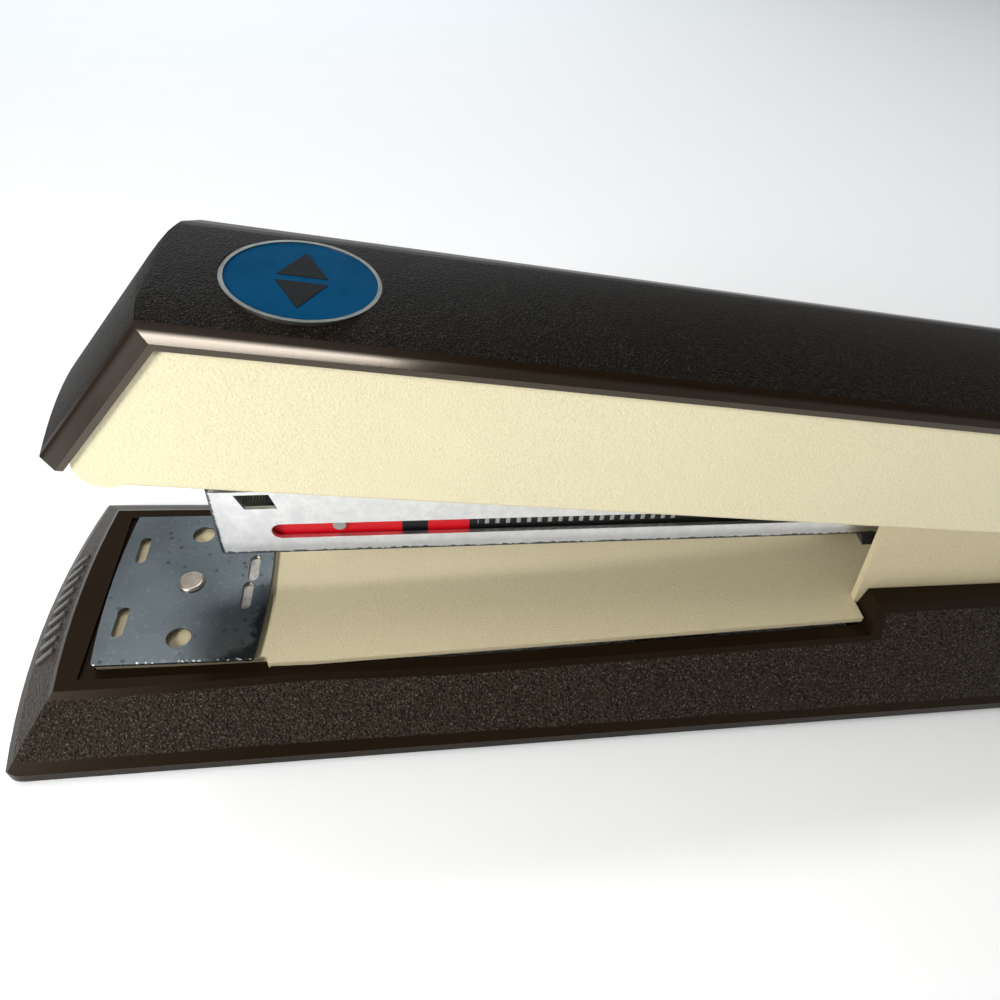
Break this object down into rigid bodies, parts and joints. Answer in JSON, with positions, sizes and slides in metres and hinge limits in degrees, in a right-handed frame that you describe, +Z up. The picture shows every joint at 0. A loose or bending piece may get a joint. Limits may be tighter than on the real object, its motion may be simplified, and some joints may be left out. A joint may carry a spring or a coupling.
{
  "type": "desk stapler",
  "caption": "Desk stapler with a raked, grained cap over a steel handle, a pivoting magazine with sprung pusher, and a turning two-way anvil in a flared base.",
  "frame": {"origin": "centre of the footprint, on the table under the rubber feet", "axes": "+Z up, -X towards the nose and anvil, +X towards the pivot, Y across"},
  "size_m": [0.222, 0.066, 0.0822],
  "materials": {
    "brown_plastic": "fine leather grain with plain glossy borders",
    "cream_paint": "baked enamel, fine orange peel",
    "zinc_steel": "bright zinc plate",
    "anvil_steel": "nickel-plated sheet steel, slightly worn",
    "spring_steel": "oiled spring steel",
    "dark_steel": "hardened blued steel",
    "staple_wire": "galvanised wire",
    "black_plastic": "moulded nylon",
    "rubber": "soft rubber",
    "label_print": "printed strip, red and black bands",
    "badge_blue": "gloss enamel",
    "badge_rim": "worn silver rim"
  },
  "bodies": {
    "base": {"base_cover": "brown_plastic", "base_frame": "cream_paint", "frame_screws": "zinc_steel", "rubber_foot_front": "rubber", "rubber_foot_rear": "rubber", "pivot_pin": "zinc_steel", "handle_washers": "zinc_steel", "ear_spacers": "zinc_steel", "lift_spring": "spring_steel", "anvil_spring": "spring_steel"},
    "anvil_lifter": {"anvil_post": "anvil_steel", "anvil_button": "black_plastic"},
    "anvil": {"anvil_plate": "anvil_steel"},
    "magazine": {"magazine_channel": "zinc_steel", "staple_track": "zinc_steel", "track_rivets": "zinc_steel", "supply_label": "label_print", "label_rivets": "zinc_steel", "rear_block": "black_plastic", "pusher_rod": "spring_steel", "pusher_spring": "spring_steel", "staple_strip": "staple_wire", "spring_bridge": "zinc_steel", "handle_spring": "spring_steel", "rest_stop": "black_plastic"},
    "pusher": {"pusher": "black_plastic"},
    "handle": {"handle_frame": "cream_paint", "handle_cap": "brown_plastic", "cap_screws": "zinc_steel", "badge_bezel": "badge_rim", "badge_face": "badge_blue", "driver_holder": "dark_steel", "driver_blade": "dark_steel", "driver_rivets": "zinc_steel", "holder_screws": "zinc_steel"}
  },
  "joints": [
    {"name": "magazine_pivot", "type": "hinge", "parent": "base", "child": "magazine", "pos_m": [0.096, 0, 0.0408], "axis": [0, 1, 0], "range_deg": [-5.27, 70], "stiffness_Nm_per_rad": 0.6, "springref_deg": 20.05, "deforming": ["lift_spring"]},
    {"name": "handle_pivot", "type": "hinge", "parent": "magazine", "child": "handle", "pos_m": [0.096, 0, 0.0408], "axis": [0, 1, 0], "range_deg": [-2.75, 62], "stiffness_Nm_per_rad": 0.5, "springref_deg": 14.32, "deforming": ["handle_spring"]},
    {"name": "pusher_slide", "type": "slide", "parent": "magazine", "child": "pusher", "axis": [0.9999, 0, 0.0113], "range_m": [0, 0.115], "stiffness_N_per_m": 20, "springref_m": -0.05, "deforming": ["pusher_spring"]},
    {"name": "anvil_lift", "type": "slide", "parent": "base", "child": "anvil_lifter", "axis": [0, 0, 1], "range_m": [0, 0.001], "stiffness_N_per_m": 500, "springref_m": -0.002, "deforming": ["anvil_spring"]},
    {"name": "anvil_turn", "type": "hinge", "parent": "anvil_lifter", "child": "anvil", "pos_m": [-0.08, 0, 0.0135], "axis": [0, 0, 1], "range_deg": [0, 180]}
  ]
}
